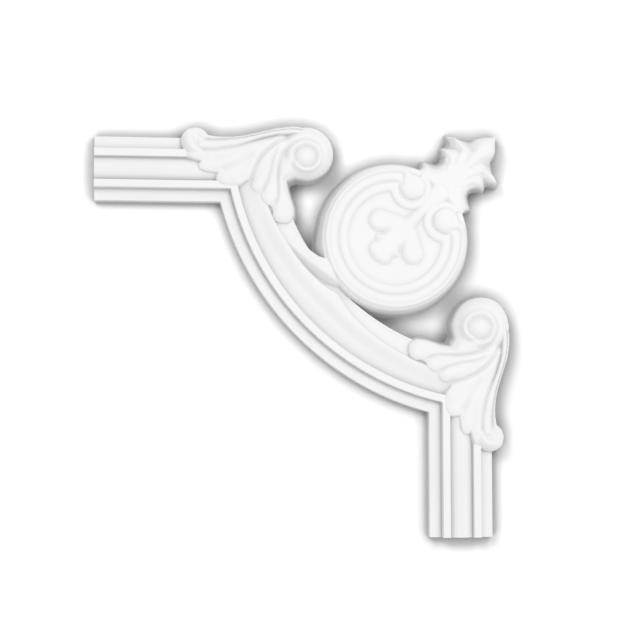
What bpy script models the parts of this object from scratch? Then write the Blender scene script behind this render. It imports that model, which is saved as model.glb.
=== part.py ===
# Moulding corner piece: one cast piece with a flat back. It is modelled lying on its back, with
# plan x to the right, plan y upwards and z as the height of the relief, then stood against the wall.
import math

import bmesh
import bpy
from mathutils import Vector

# Sizes are in millimetres, and MM turns them into metres.
MM = 0.001
SIDES = ("left", "lower")

# Every form starts this far below the back plane, and one cut then leaves the back flat.
SUNK = 3.0
SLAB_REACH = 200.0

# Moulding: two straight legs, and an arc between them that swings round ARC_CENTRE.
LEG_END = -151.5
LEG_INNER = 74.0
MOULDING_WIDTH = 44.0
ARC_CENTRE = 124.3
ARC_RADIUS = 198.3
ARC_START = math.radians(195)
ARC_SWEEP = math.radians(60)
ARC_STEPS = 40

# Section of the moulding as (offset from the concave side, height). The legs and the arc share
# the step, the fillet and the groove.
SLOPE = 0.6
FILLET_HEIGHT = 12.0
GROOVE = (14.4, 7.8)
STEP_AND_FILLET = ((0.0, 5.5), (8.4, 5.5), (9.0, FILLET_HEIGHT), (13.8, FILLET_HEIGHT), GROOVE)
LEG_BAND = ((18.0, 10.4), (22.0, 11.2), (26.0, 10.4), (29.3, 7.8))
LEG_RAIL = ((29.9, FILLET_HEIGHT), (34.8, FILLET_HEIGHT), (35.4, 7.0), (MOULDING_WIDTH, 7.0))
ARC_HOLLOW = ((18.0, 9.2), (22.0, 10.2), (25.0, 10.4))

# On the arc a crest stands between the hollow and a flat strip. The crease between crest and strip
# leans inwards from the leaves to the middle, and bulges there.
CREST_HEIGHT = 12.7
STRIP_HEIGHT = 10.6
CREASE_AT_LEAF = 30.2
CREASE_LEAN = 6.0
CREASE_BULGE = 4.3
CREST_AT_LEAF = 3.4
CREST_BULGE = 5.0

# Left half of the arc only: the strip climbs, leaves the arc's edge and becomes the medallion's rim.
STRIP_SHARES = (0.14, 0.50)
STRIP_STEPS = 12
STRIP_WIDTHS = (11.4, 5.0)
STRIP_DRIFT_FROM = 0.30
STRIP_DRIFT = 5.0
STRIP_SHOULDER = 1.2

# Medallion: a ringed disc whose centre is on the mirror line. Its section is (radius, depth below the rim).
MEDALLION_CENTRE = 50.0
MEDALLION_BASE = 53.3
RIM_HEIGHT = 19.3
RIM_SECTION = ((48.7, 0.9), (47.8, 0.0), (46.3, 0.1), (42.4, 1.5), (39.0, 1.9))
BAND_SECTION = ((38.3, 2.6), (37.6, 1.5), (33.2, 1.8), (31.0, 3.4))
CURL_CENTRE = (62.0, 85.0)
CURL_SECTION = ((7.7, 7.0), (7.7, 0.9), (6.3, -0.6), (3.0, -1.2))
CURL_BAND_SECTION = ((13.4, 8.0), (12.9, 2.0), (12.0, 1.5), (7.6, 2.2))

# Sprig on the medallion: (root, tip, radii, heights above the field) of each lobe.
FIELD_HEIGHT = 15.9
SPRIG_FOOT = FIELD_HEIGHT - 3.0
SPRIG_SIDE = ((58.0, 60.0), (40.0, 62.3), (4.5, 7.6), (2.0, 2.0))
SPRIG_MIDDLE = ((57.0, 57.0), (41.5, 41.5), (5.0, 8.4), (2.0, 2.0))
SPRIG_BUD = ((74.0, 74.0), (61.5, 61.5), (3.4, 4.6), (2.6, 2.4))

# Crown: half of its outline from the medallion up to the tip, at the foot and at the face.
# Both have the same number of points, and the walls lean in from one to the other.
CROWN_FOOT = (
    (65.5, 93.0), (70.4, 104.4), (74.6, 102.6), (79.2, 101.6), (82.6, 103.0), (84.0, 106.0), (83.8, 109.4),
    (82.2, 113.4), (88.0, 114.2), (86.6, 123.2), (94.6, 119.8), (100.0, 117.0), (105.0, 116.4),
    (108.6, 119.4), (113.6, 121.0),
)
CROWN_FACE = (
    (70.5, 91.5), (73.0, 98.8), (76.0, 97.5), (80.2, 97.2), (83.6, 99.0), (85.6, 102.2), (85.8, 105.6),
    (85.0, 110.4), (93.0, 110.2), (90.0, 119.8), (94.6, 117.6), (98.4, 114.2), (103.2, 110.8),
    (107.6, 116.8), (113.0, 118.8),
)
CROWN_FOOT_TIP = (122.4, 122.4)
CROWN_FACE_TIP = (119.4, 119.4)
CROWN_CORE = Vector((97.0, 97.0))
CROWN_EDGE_HEIGHT = 15.4
CROWN_TOP = (0.86, 17.2)
VEIN_FOOT = 8.0
VEIN_PATH = ((80.0, 86.0), (90.5, 98.0), (91.5, 113.5))
VEIN = {"widths": (9.0, 3.0), "heights": (17.6, 15.6), "shoulder": 1.6}
SPINE_PATH = ((76.0, 76.0), (94.0, 94.0), (113.0, 113.0))
SPINE = {"widths": (10.0, 4.0), "heights": (18.4, 15.8), "shoulder": 1.8}

# The lower leaf is larger at its volute: there it stretches by LEAN outwards from LEAN_FROM.
LEAN = Vector((2.0, 3.8))
LEAN_FROM = {"root": (-72.0, -24.0), "side": (-8.0, 10.0), "back": (88.0, 112.0)}

# Leaf, given for the left side. Turned forms have a centre and a section of (radius, height).
VOLUTE_CENTRE = (-9.4, 107.0)
VOLUTE_SECTION = ((19.5, -SUNK), (19.5, 2.0), (18.6, 11.5), (17.4, 13.6), (14.6, 15.6), (9.5, 16.4))
LEAF_TIP_CENTRE = (-84.2, 114.4)
LEAF_TIP_SECTION = ((10.9, -SUNK), (10.9, 9.0), (9.6, 11.8), (7.6, 13.2), (5.2, 12.6), (3.4, 10.4))
EYE_CENTRE = (-11.0, 103.8)
EYE_SECTION = ((6.6, 8.0), (6.6, 21.5), (4.6, 23.6), (2.0, 24.5))
COIL_CENTRE = (-10.5, 104.8)
COIL_TURN = (math.radians(245), math.radians(645))
COIL_RADII = (7.5, 13.6)
COIL_STEPS = 18
COIL = {"widths": (5.0, 6.0), "heights": (22.5, 15.4), "shoulder": 2.2}
RIBBON_PATH = (
    (-80.0, 114.2), (-70.0, 113.8), (-60.0, 114.9), (-50.0, 117.2), (-40.0, 120.6), (-30.0, 123.2),
    (-18.0, 123.2), (-6.0, 120.6), (2.6, 114.4), (6.0, 105.0), (3.0, 96.6),
)
RIBBON = {"widths": (10.6, 5.0), "heights": (15.6, 14.6), "shoulder": 2.4}

# Lobes of the leaf: root, tip, radii at root and tip, heights at root and tip.
LOBES = {
    "back": ((-32.0, 112.0), (-72.0, 104.5), (9.0, 6.5), (16.0, 14.4)),
    "tip": ((-40.0, 108.0), (-77.6, 99.4), (9.0, 6.9), (15.6, 14.0)),
    "broad": ((-36.0, 104.0), (-60.4, 91.6), (10.0, 9.2), (15.8, 14.0)),
    "fold": ((-29.0, 108.0), (-40.5, 86.2), (6.0, 6.5), (17.0, 13.8)),
    "hanging": ((-27.0, 106.0), (-33.0, 77.4), (6.0, 6.5), (17.6, 14.2)),
    "drop": ((-22.6, 98.0), (-25.6, 66.0), (4.6, 8.9), (18.0, 14.8)),
}

# Sections that repeat: a lobe's edge as (inset, drop), and half a ridge as
# (share of its half width, share of its drop).
LOBE_EDGE = ((0.0, 2.6), (0.9, 0.9), (2.4, 0.0))
LOBE_ARC_POINTS = 7
RIDGE_HALF = ((1.0, 1.0), (0.55, 0.25))


def smooth_step(span, value):
    t = min(max((value - span[0]) / (span[1] - span[0]), 0.0), 1.0)
    return t * t * (3.0 - 2.0 * t)


def mirrored(point, side):
    # The lower half is the left half with plan x and y exchanged, and its leaf leans outwards.
    x, y, *rest = point
    if side == "left":
        return (x, y, *rest)
    if side == "lower_leaf":
        reach = smooth_step(LEAN_FROM["root"], x) * smooth_step(LEAN_FROM["back"], y)
        x, y = x + LEAN.x * smooth_step(LEAN_FROM["side"], x), y + LEAN.y * reach
    return (y, x, *rest)


def smooth_path(points, steps=3):
    # A smooth curve through the points, with the given number of stretches between each two.
    knots = [Vector(p) for p in (points[0], *points, points[-1])]
    path = []
    for a, b, c, d in zip(knots, knots[1:], knots[2:], knots[3:]):
        for k in range(steps):
            t = k / steps
            pull = (c - a) * t + (2 * a - 5 * b + 4 * c - d) * t**2 + (3 * b - a - 3 * c + d) * t**3
            path.append(b + pull / 2)
    path.append(knots[-1])
    return path


def between(pair, share):
    return pair[0] + (pair[1] - pair[0]) * share


def around(centre, radius, angle):
    return Vector((centre[0] + radius * math.cos(angle), centre[1] + radius * math.sin(angle)))


def closed_mesh(name, rings):
    # Skins a row of outlines, all with the same number of points, and closes both ends.
    form = bmesh.new()
    rows = [[form.verts.new(Vector(point) * MM) for point in ring] for ring in rings]
    for first, second in zip(rows, rows[1:]):
        for k in range(len(first)):
            form.faces.new((first[k - 1], first[k], second[k], second[k - 1]))
    form.faces.new(rows[0])
    form.faces.new(rows[-1])
    bmesh.ops.recalc_face_normals(form, faces=form.faces)
    mesh = bpy.data.meshes.new(name)
    form.to_mesh(mesh)
    form.free()
    return mesh


def turned(centre, section, sides, side="left"):
    # Outlines of a turned form: the section is a row of (radius, height) from the foot to the top.
    turns = [2 * math.pi * k / sides for k in range(sides)]
    return [[mirrored((*around(centre, radius, turn), height), side) for turn in turns]
            for radius, height in section]


def below_rim(section):
    return [(radius, RIM_HEIGHT - depth) for radius, depth in section]


def petal_outline(root, tip, radii, grow):
    # A tapered shape with round ends, grown outwards by a distance.
    root, tip = Vector(root), Vector(tip)
    along = math.atan2(tip.y - root.y, tip.x - root.x)
    lean = math.asin((radii[0] - radii[1]) / (tip - root).length)
    quarter = math.pi / 2 - lean
    outline = []
    for middle, radius, first, sweep in (
        (tip, radii[1], along - quarter, 2 * quarter),
        (root, radii[0], along + quarter, 2 * math.pi - 2 * quarter),
    ):
        for k in range(LOBE_ARC_POINTS):
            outline.append(around(middle, radius + grow, first + sweep * k / (LOBE_ARC_POINTS - 1)))
    return outline


def petal(root, tip, radii, heights, side, foot=-SUNK):
    # A leaf lobe: a wall, a rounded edge and a top that rises or falls from root to tip.
    span = Vector(tip) - Vector(root)

    def ring(inset, height_at):
        points = []
        for point in petal_outline(root, tip, radii, -inset):
            share = min(max((point - Vector(root)).dot(span) / span.length_squared, 0), 1)
            points.append(mirrored((*point, height_at(share)), side))
        return points

    rings = [ring(0.0, lambda share: foot)]
    for inset, drop in LOBE_EDGE:
        rings.append(ring(inset, lambda share: between(heights, share) - drop))
    return rings


def ridge(path, widths, heights, shoulder, side, foot=-SUNK):
    # A raised bar along a path, with a rounded section that reaches down into the body.
    half_section = [(1.0, None), *((reach, shoulder * drop) for reach, drop in RIDGE_HALF)]
    section = [*((-reach, drop) for reach, drop in half_section), (0.0, 0.0), *reversed(half_section)]
    last = len(path) - 1
    rings = []
    for k, point in enumerate(path):
        along = (path[min(k + 1, last)] - path[max(k - 1, 0)]).normalized()
        across = Vector((-along.y, along.x)) * between(widths, k / last) / 2
        top = between(heights, k / last)
        ring = []
        for reach, drop in section:
            height = foot if drop is None else top - drop
            ring.append(mirrored((*(point + across * reach), height), side))
        rings.append(ring)
    return rings


def crest_and_crease(share):
    # Where the arc's crest starts and where the crease behind it runs, from leaf to leaf.
    middle = 1 - abs(1 - 2 * share)
    crease = CREASE_AT_LEAF + CREASE_LEAN * middle + CREASE_BULGE * middle**5
    return crease - CREST_AT_LEAF - CREST_BULGE * middle**4, crease


def mitre_angle(offset):
    # Where the arc at this offset meets the leg at the same offset.
    return math.pi - math.asin((LEG_INNER + offset - ARC_CENTRE) / (ARC_RADIUS - offset))


def sunk(section):
    return [(section[0][0], -SUNK), *section, (section[-1][0], -SUNK)]


def arc_ring(share):
    crest, crease = crest_and_crease(share)
    hollow_end = (crest - 2 * SLOPE, ARC_HOLLOW[-1][1])
    section = sunk([
        *STEP_AND_FILLET, *ARC_HOLLOW, hollow_end, (crest + SLOPE, CREST_HEIGHT),
        (crease - SLOPE, CREST_HEIGHT), (crease, STRIP_HEIGHT), (MOULDING_WIDTH, STRIP_HEIGHT),
    ])
    ring = []
    for offset, height in section:
        start = mitre_angle(offset)
        angle = start + (2.5 * math.pi - 2 * start) * share
        ring.append((*around((ARC_CENTRE, ARC_CENTRE), ARC_RADIUS - offset, angle), height))
    return ring


def leg_rings(side):
    # The square end of the leg, and its mitre with the arc.
    end, mitre = [], []
    for offset, height in sunk([*STEP_AND_FILLET, *LEG_BAND, *LEG_RAIL]):
        corner = around((ARC_CENTRE, ARC_CENTRE), ARC_RADIUS - offset, mitre_angle(offset)).x
        end.append(mirrored((LEG_END, LEG_INNER + offset, height), side))
        mitre.append(mirrored((corner, LEG_INNER + offset, height), side))
    return [end, mitre]


def moulding_rings():
    # The section carried along leg, arc and leg.
    arc = [arc_ring(k / ARC_STEPS) for k in range(1, ARC_STEPS)]
    return [*leg_rings("left"), *arc, *reversed(leg_rings("lower"))]


def medallion_forms():
    centre = (MEDALLION_CENTRE, MEDALLION_CENTRE)
    foot = [(MEDALLION_BASE, -SUNK), (MEDALLION_BASE, 0.0)]
    yield "medallion_disc", turned(centre, [*foot, *below_rim(RIM_SECTION + BAND_SECTION)], 64)
    for side in SIDES:
        yield f"curl_band_{side}", turned(CURL_CENTRE, below_rim(CURL_BAND_SECTION), 24, side)
        yield f"curl_{side}", turned(CURL_CENTRE, below_rim(CURL_SECTION), 20, side)


def sprig_forms():
    lobes = [("sprig_middle", SPRIG_MIDDLE, "left"), ("sprig_bud", SPRIG_BUD, "left")]
    lobes += [(f"sprig_{side}", SPRIG_SIDE, side) for side in SIDES]
    for name, (root, tip, radii, rises), side in lobes:
        heights = [FIELD_HEIGHT + rise for rise in rises]
        yield name, petal(root, tip, radii, heights, side, SPRIG_FOOT)


def crown_forms():
    # Each outline runs from the medallion up to the tip, and then back as its own mirror image.
    foot, face = (
        [*half, tip, *(mirrored(point, "lower") for point in reversed(half))]
        for half, tip in ((CROWN_FOOT, CROWN_FOOT_TIP), (CROWN_FACE, CROWN_FACE_TIP))
    )
    shrink, height = CROWN_TOP
    top = [CROWN_CORE + (Vector(point) - CROWN_CORE) * shrink for point in face]
    rows = ((foot, -SUNK), (foot, 1.0), (face, CROWN_EDGE_HEIGHT), (top, height))
    yield "crown", [[(*point, row_height) for point in outline] for outline, row_height in rows]
    for side in SIDES:
        yield f"crown_vein_{side}", ridge(smooth_path(VEIN_PATH), side=side, foot=VEIN_FOOT, **VEIN)
    yield "crown_spine", ridge(smooth_path(SPINE_PATH), side="left", foot=VEIN_FOOT, **SPINE)


def scroll_forms(side):
    place = "left" if side == "left" else "lower_leaf"
    yield f"volute_{side}", turned(VOLUTE_CENTRE, VOLUTE_SECTION, 40, place)
    coil = []
    for k in range(COIL_STEPS + 1):
        share = k / COIL_STEPS
        coil.append(around(COIL_CENTRE, between(COIL_RADII, share), between(COIL_TURN, share)))
    yield f"coil_{side}", ridge(coil, side=place, foot=VEIN_FOOT, **COIL)
    yield f"eye_{side}", turned(EYE_CENTRE, EYE_SECTION, 18, place)
    yield f"ribbon_{side}", ridge(smooth_path(RIBBON_PATH), side=place, **RIBBON)
    yield f"leaf_tip_{side}", turned(LEAF_TIP_CENTRE, LEAF_TIP_SECTION, 24, place)
    for name, lobe in LOBES.items():
        yield f"lobe_{name}_{side}", petal(*lobe, place)


def strip_forms():
    # The path keeps to the middle of the strip, and drifts off the arc's edge where it joins the rim.
    path = []
    for k in range(STRIP_STEPS + 1):
        share = between(STRIP_SHARES, k / STRIP_STEPS)
        middle = (crest_and_crease(share)[1] + MOULDING_WIDTH) / 2
        drift = max(share - STRIP_DRIFT_FROM, 0.0) / (STRIP_SHARES[1] - STRIP_DRIFT_FROM)
        radius = ARC_RADIUS - middle - STRIP_DRIFT * drift**2
        path.append(around((ARC_CENTRE, ARC_CENTRE), radius, ARC_START + ARC_SWEEP * share))
    heights = (STRIP_HEIGHT, RIM_HEIGHT - STRIP_SHOULDER / 2)
    yield "strip", ridge(path, STRIP_WIDTHS, heights, STRIP_SHOULDER, "left")


def material():
    primer = bpy.data.materials.new("primed_white")
    primer.use_nodes = True
    shader = primer.node_tree.nodes["Principled BSDF"]
    shader.inputs["Base Color"].default_value = (0.86, 0.86, 0.86, 1.0)
    shader.inputs["Roughness"].default_value = 0.62
    shader.inputs["Metallic"].default_value = 0.0
    return primer


def add_object(name, mesh, collection, frame):
    piece = bpy.data.objects.new(name, mesh)
    collection.objects.link(piece)
    piece.parent = frame
    return piece


def add_helper(name, rings, collection, frame):
    helper = add_object(name, closed_mesh(name, rings), collection, frame)
    helper.hide_render = True
    helper.display_type = "WIRE"
    return helper


def main():
    for old in list(bpy.data.objects):
        bpy.data.objects.remove(old)
    scene = bpy.context.scene.collection
    frame = bpy.data.objects.new("wall_frame", None)
    frame.rotation_euler = (math.pi / 2, 0.0, 0.0)
    scene.objects.link(frame)

    body = add_object("corner_moulding", closed_mesh("corner_moulding", moulding_rings()), scene, frame)
    body.data.materials.append(material())

    forms = bpy.data.collections.new("relief_forms")
    scene.children.link(forms)
    rows = [*medallion_forms(), *sprig_forms(), *crown_forms(), *strip_forms()]
    for side in SIDES:
        rows.extend(scroll_forms(side))
    for name, rings in rows:
        add_helper(name, rings, forms, frame)
    join = body.modifiers.new("join_relief", "BOOLEAN")
    join.operation = "UNION"
    join.operand_type = "COLLECTION"
    join.collection = forms

    corners = ((-SLAB_REACH, -SLAB_REACH), (SLAB_REACH, -SLAB_REACH), (SLAB_REACH, SLAB_REACH),
               (-SLAB_REACH, SLAB_REACH))
    slab = [[(*corner, height) for corner in corners] for height in (-2 * SUNK, 0.0)]
    cutter = add_helper("back_cutter", slab, scene, frame)
    trim = body.modifiers.new("flat_back", "BOOLEAN")
    trim.operation = "DIFFERENCE"
    trim.object = cutter
    for face in body.data.polygons:
        face.use_smooth = True
    body.data.set_sharp_from_angle(angle=math.radians(35))


main()
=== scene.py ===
import math

import bmesh
import bpy
import numpy as np
from mathutils import Matrix, Vector
from mathutils.bvhtree import BVHTree
from mathutils.geometry import delaunay_2d_cdt


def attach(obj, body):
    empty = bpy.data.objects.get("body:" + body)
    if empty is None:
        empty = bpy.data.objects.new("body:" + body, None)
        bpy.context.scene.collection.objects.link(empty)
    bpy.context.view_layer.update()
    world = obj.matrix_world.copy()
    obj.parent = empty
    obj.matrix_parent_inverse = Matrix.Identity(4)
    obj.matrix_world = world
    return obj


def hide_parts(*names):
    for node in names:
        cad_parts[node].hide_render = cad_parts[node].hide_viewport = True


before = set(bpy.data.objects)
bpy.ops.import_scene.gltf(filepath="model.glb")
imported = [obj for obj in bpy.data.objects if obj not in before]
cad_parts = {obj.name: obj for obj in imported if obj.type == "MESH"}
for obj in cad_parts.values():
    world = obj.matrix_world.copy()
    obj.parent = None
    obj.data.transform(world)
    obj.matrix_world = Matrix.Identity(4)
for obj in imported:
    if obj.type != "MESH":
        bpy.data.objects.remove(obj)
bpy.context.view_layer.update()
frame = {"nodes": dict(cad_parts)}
print("frame loaded:", ", ".join(frame["nodes"]))

# Plan x runs to the right, plan y upwards and the relief's height out of the wall, all in millimetres.
# On the wall, plan x is X, plan y is Z and the height is -Y, in metres.
mm = 0.001
below = -9.0  # height, or depth inside an outline, where a form doesn't stand


# Small shapes that every form below is made of

def smoothStep(low, high, value):
    # 0 below low, 1 above high, 3t^2 - 2t^3 between them
    t = np.clip((value - low) / (high - low), 0, 1)
    return t * t * (3 - 2 * t)


def softMax(a, b, blend):
    # the larger of two, rounded where they are within blend of each other
    near = np.maximum(blend - np.abs(a - b), 0) / blend
    return np.maximum(a, b) + near * near * blend / 4


def softMin(a, b, blend):
    return -softMax(-a, -b, blend)


def bump(value, centre, width):
    # a bell, 1 at the centre: exp(-(d / width)^2)
    return np.exp(-((value - centre) / width) ** 2)


def smoothPath(knots, steps=6):
    # Catmull-Rom curve through the knots: each stretch is a cubic in t with the neighbours' slopes
    p = np.array([knots[0], *knots, knots[-1]], float)
    t = (np.arange(steps) / steps)[None, :, None]
    a, b, c, d = (p[k:len(p) - 3 + k, None, :] for k in range(4))
    curve = b + ((c - a) * t + (2 * a - 5 * b + 4 * c - d) * t**2 + (3 * b - a - 3 * c + d) * t**3) / 2
    return np.vstack([curve.reshape(-1, p.shape[1]), p[-1]])


def alongPath(x, y, path):
    # nearest point of a path: signed distance, positive on its left, and the share of its length there
    start, stretch = path[:-1, :2], np.diff(path[:, :2], axis=0)
    length = np.hypot(stretch[:, 0], stretch[:, 1])
    passed = np.concatenate([[0], np.cumsum(length)])
    best = np.full(x.shape, np.inf)
    side, share = np.zeros(x.shape), np.zeros(x.shape)
    for k in range(len(stretch)):
        dx, dy = x - start[k, 0], y - start[k, 1]
        t = np.clip((dx * stretch[k, 0] + dy * stretch[k, 1]) / length[k] ** 2, 0, 1)
        away = np.hypot(dx - t * stretch[k, 0], dy - t * stretch[k, 1])
        closer = away < best
        best = np.where(closer, away, best)
        cross = stretch[k, 0] * dy - stretch[k, 1] * dx
        side = np.where(closer, np.where(cross >= 0, away, -away), side)
        share = np.where(closer, (passed[k] + t * length[k]) / passed[-1], share)
    return side, share


def insideOutline(x, y, outline):
    # distance to a closed outline, positive inside it, by the even and odd rule
    inside = np.zeros(x.shape, bool)
    nearest = np.full(x.shape, np.inf)
    for (ax, ay), (bx, by) in zip(outline, np.roll(outline, -1, axis=0)):
        ex, ey = bx - ax, by - ay
        t = np.clip(((x - ax) * ex + (y - ay) * ey) / (ex * ex + ey * ey), 0, 1)
        nearest = np.minimum(nearest, np.hypot(x - ax - t * ex, y - ay - t * ey))
        if ay != by:
            crosses = ((ay > y) != (by > y)) & (x < ax + (y - ay) * ex / ey)
            inside ^= crosses
    return np.where(inside, nearest, -nearest)


def petalDepth(x, y, root, tip, rootRadius, tipRadius):
    # distance inside a tapered shape with round ends, and the share of the way from root to tip
    ex, ey = tip[0] - root[0], tip[1] - root[1]
    share = np.clip(((x - root[0]) * ex + (y - root[1]) * ey) / (ex * ex + ey * ey), 0, 1)
    away = np.hypot(x - root[0] - share * ex, y - root[1] - share * ey)
    return rootRadius + (tipRadius - rootRadius) * share - away, share


def walled(top, depth, steep, blend):
    # a top that ends in a steep wall: the smaller of the top and steep x depth, rounded where they meet
    return softMin(top, steep * depth, blend), np.where(steep * depth < top, 1, 0)


# Moulding legs and arc

moulding = {
    "legEnd": -151.5,  # where both legs are cut
    "legInner": 74.0,
    "width": 44.0,
    "arcCentre": 124.3,  # on the diagonal
    "arcRadius": 198.3,
    "arcStart": 195.0,  # degrees, at the left leaf
    "arcTurn": 60.0,  # degrees from there to the lower leaf
    "arcOverrun": 0.2,  # share of the turn that the arc goes on under each leaf
    "stepEnd": 8.4,  # this and the next three are distances in from the outer edge
    "filletEnd": 13.8,
    "bandEnd": 29.9,
    "railEnd": 34.8,
    "riser": 0.6,
    "stepHeight": 5.5,
    "stepTilt": 0.3,  # how much the outer edge of the step stands higher
    "filletHeight": 12.0,
    "grooveHeight": 7.8,
    "bandRise": 3.4,
    "bandPower": 2.3,
    "arris": 0.35,
    "arrisShare": 0.09,
    "outerStepHeight": 7.0,
    "outerStepTilt": 0.4,
    "swell": 2.4,  # height that the band on the arc gains, from the fillet on
    "swellShare": 0.62,  # share of the band's width on which it gains it
    "creaseOffsets": (30.2, 6.0, 4.3),  # at the leaves, gained evenly, gained late
    "crestOffsets": (3.4, 5.0),  # before the crease: at the leaves, gained late
    "crestRun": (-8.0, 1.5),  # where the rise starts and ends, from the crest
    "creaseRun": 1.5,
    "crestHeight": 12.7,
    "stripHeight": 10.6,
    "lip": 0.5,
    "lipRun": (4.5, 1.5),  # where the lip starts and ends, from the inner edge
    "wall": 9.0,
    "edgeRound": 0.5,
}


def creaseOffset(share):
    # where the crease behind the crest runs: least at the leaves, most in the middle of the arc
    least, even, late = moulding["creaseOffsets"]
    s = 1 - np.abs(1 - 2 * share)
    return least + even * s + late * s**5


def crestOffset(share):
    least, late = moulding["crestOffsets"]
    s = 1 - np.abs(1 - 2 * share)
    return creaseOffset(share) - least - late * s**4


def edgeLip(o):
    # the inner edge of the arc turns up a little
    start, end = moulding["lipRun"]
    return moulding["lip"] * smoothStep(moulding["width"] - start, moulding["width"] - end, o)


def arcPlace(x, y):
    # distance in from the arc's outer edge, and the share of the way from left leaf to lower leaf
    dx, dy = x - moulding["arcCentre"], y - moulding["arcCentre"]
    turn = np.degrees(np.arctan2(dy, dx)) % 360
    return moulding["arcRadius"] - np.hypot(dx, dy), (turn - moulding["arcStart"]) / moulding["arcTurn"]


def legProfile(o):
    # heights across a leg: step, fillet, swelling band with an arris, fillet, step
    m = moulding
    r = m["riser"]
    marks = [0, m["stepEnd"], m["stepEnd"] + r, m["filletEnd"], m["filletEnd"] + r,
             m["bandEnd"] - r, m["bandEnd"], m["railEnd"], m["railEnd"] + r, m["width"]]
    heights = [m["stepHeight"] + m["stepTilt"], m["stepHeight"], m["filletHeight"], m["filletHeight"],
               m["grooveHeight"], m["grooveHeight"], m["filletHeight"], m["filletHeight"],
               m["outerStepHeight"], m["outerStepHeight"] + m["outerStepTilt"]]
    flat = np.interp(o, marks, heights)
    middle, half = (marks[4] + marks[5]) / 2, (marks[5] - marks[4]) / 2
    t = np.clip(np.abs(o - middle) / half, 0, 1)
    band = m["bandRise"] * (1 - t ** m["bandPower"]) + m["arris"] * bump(t, 0, m["arrisShare"])
    return flat + band, np.searchsorted(marks, o)


def arcProfile(o, share):
    # the same step and fillet, then a swelling band, a crest that widens to the middle, and a strip
    m = moulding
    r = m["riser"]
    crease, crest = creaseOffset(share), crestOffset(share)
    groove = m["filletEnd"] + r
    marks = [0, m["stepEnd"], m["stepEnd"] + r, m["filletEnd"], groove]
    heights = [m["stepHeight"] + m["stepTilt"], m["stepHeight"], m["filletHeight"], m["filletHeight"],
               m["grooveHeight"]]
    flat = np.interp(o, marks, heights)
    t = np.clip((o - groove) / (crest - groove), 0, 1)
    swell = m["swell"] * np.sin(np.minimum(t / m["swellShare"], 1) * math.pi / 2)
    rise = smoothStep(*m["crestRun"], o - crest) * (m["crestHeight"] - m["grooveHeight"] - m["swell"])
    fall = smoothStep(-m["creaseRun"], 0, o - crease) * (m["crestHeight"] - m["stripHeight"])
    zone = np.searchsorted(marks, o) + (o > crease)
    return flat + swell + rise - fall + edgeLip(o), zone


def mouldingForm(x, y):
    # the three runs meet in mitres: each point takes the run that it lies deepest in
    m = moulding
    leftLeg, lowerLeg = y - m["legInner"], x - m["legInner"]
    arc, share = arcPlace(x, y)
    onArc = (share > -m["arcOverrun"]) & (share < 1 + m["arcOverrun"])
    arc = np.where(onArc, arc, -m["width"])
    leftLeg = np.where(x < 0, leftLeg, -m["width"])
    lowerLeg = np.where(y < 0, lowerLeg, -m["width"])
    leg = np.maximum(leftLeg, lowerLeg)
    legTop, legZone = legProfile(leg)
    arcTop, arcZone = arcProfile(arc, share)
    onLeg = leg > arc
    o = np.where(onLeg, leg, arc)
    depth = np.minimum(o, m["width"] - o)
    height, edge = walled(np.where(onLeg, legTop, arcTop), depth, m["wall"], m["edgeRound"])
    # labels: 0 to 10 on the legs, from 20 on the arc, and 40 more on a wall
    return height, np.where(onLeg, legZone, arcZone + 20) + 40 * edge


# Medallion with its rings, curls and sprig, and the strip that climbs into its rim

medallion = {
    "centre": 50.0,
    "foot": 53.3,
    "face": 48.3,
    "wallHeight": 19.2,
    "spread": 1.9,
    "spreadTowards": (190.0, 13.0),  # the foot is wider there: degrees, half width
    "rimRound": 0.7,
    "rings": (
        # radius, height: field, inner band, groove, outer band, lip
        (30.4, 15.9), (31.4, 16.0), (32.4, 17.2), (33.4, 17.7), (35.4, 17.95), (37.2, 17.7), (38.1, 17.0),
        (38.5, 16.7), (39.2, 17.4), (40.2, 18.0), (41.8, 18.25), (43.4, 18.05), (44.2, 18.0), (44.9, 18.8),
        (45.9, 19.3), (47.6, 19.4), (48.3, 19.2),
    ),
    "field": 31.4,
    "groove": 38.4,
    "bandHeight": 18.0,
    "bandEnds": 31.0,  # degrees from the diagonal
    "lipEnds": 40.0,  # degrees from the diagonal
    "curl": (61.3, 83.5),
    "curlRadius": 7.7,
    "curlHeight": 20.0,
    "curlFall": (1.9, 1.1),  # inside, and how much less outside
    "curlSpread": 1.6,
    "curlEdge": (1.5, -3.0),  # where the dome starts and is full, from the curl's radius
    "turnedEdge": 9.4,
    "wrapAway": 0.5,
    "wrapRate": 1.1,
    "rimFoot": (16.9, 1.5),  # height, slope
    "gap": 24.0,  # degrees from the diagonal
    "outsideRuns": ((10, 70), (300, 220)),  # degrees round the curl where its outer side starts and ends
    "curlPower": 2.4,
    "wrapBlend": 1.2,
    "turnBlend": 3.0,
    "bandBlend": 0.8,
    "ballBlend": 4.0,
    "footBlend": 1.0,
}


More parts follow.
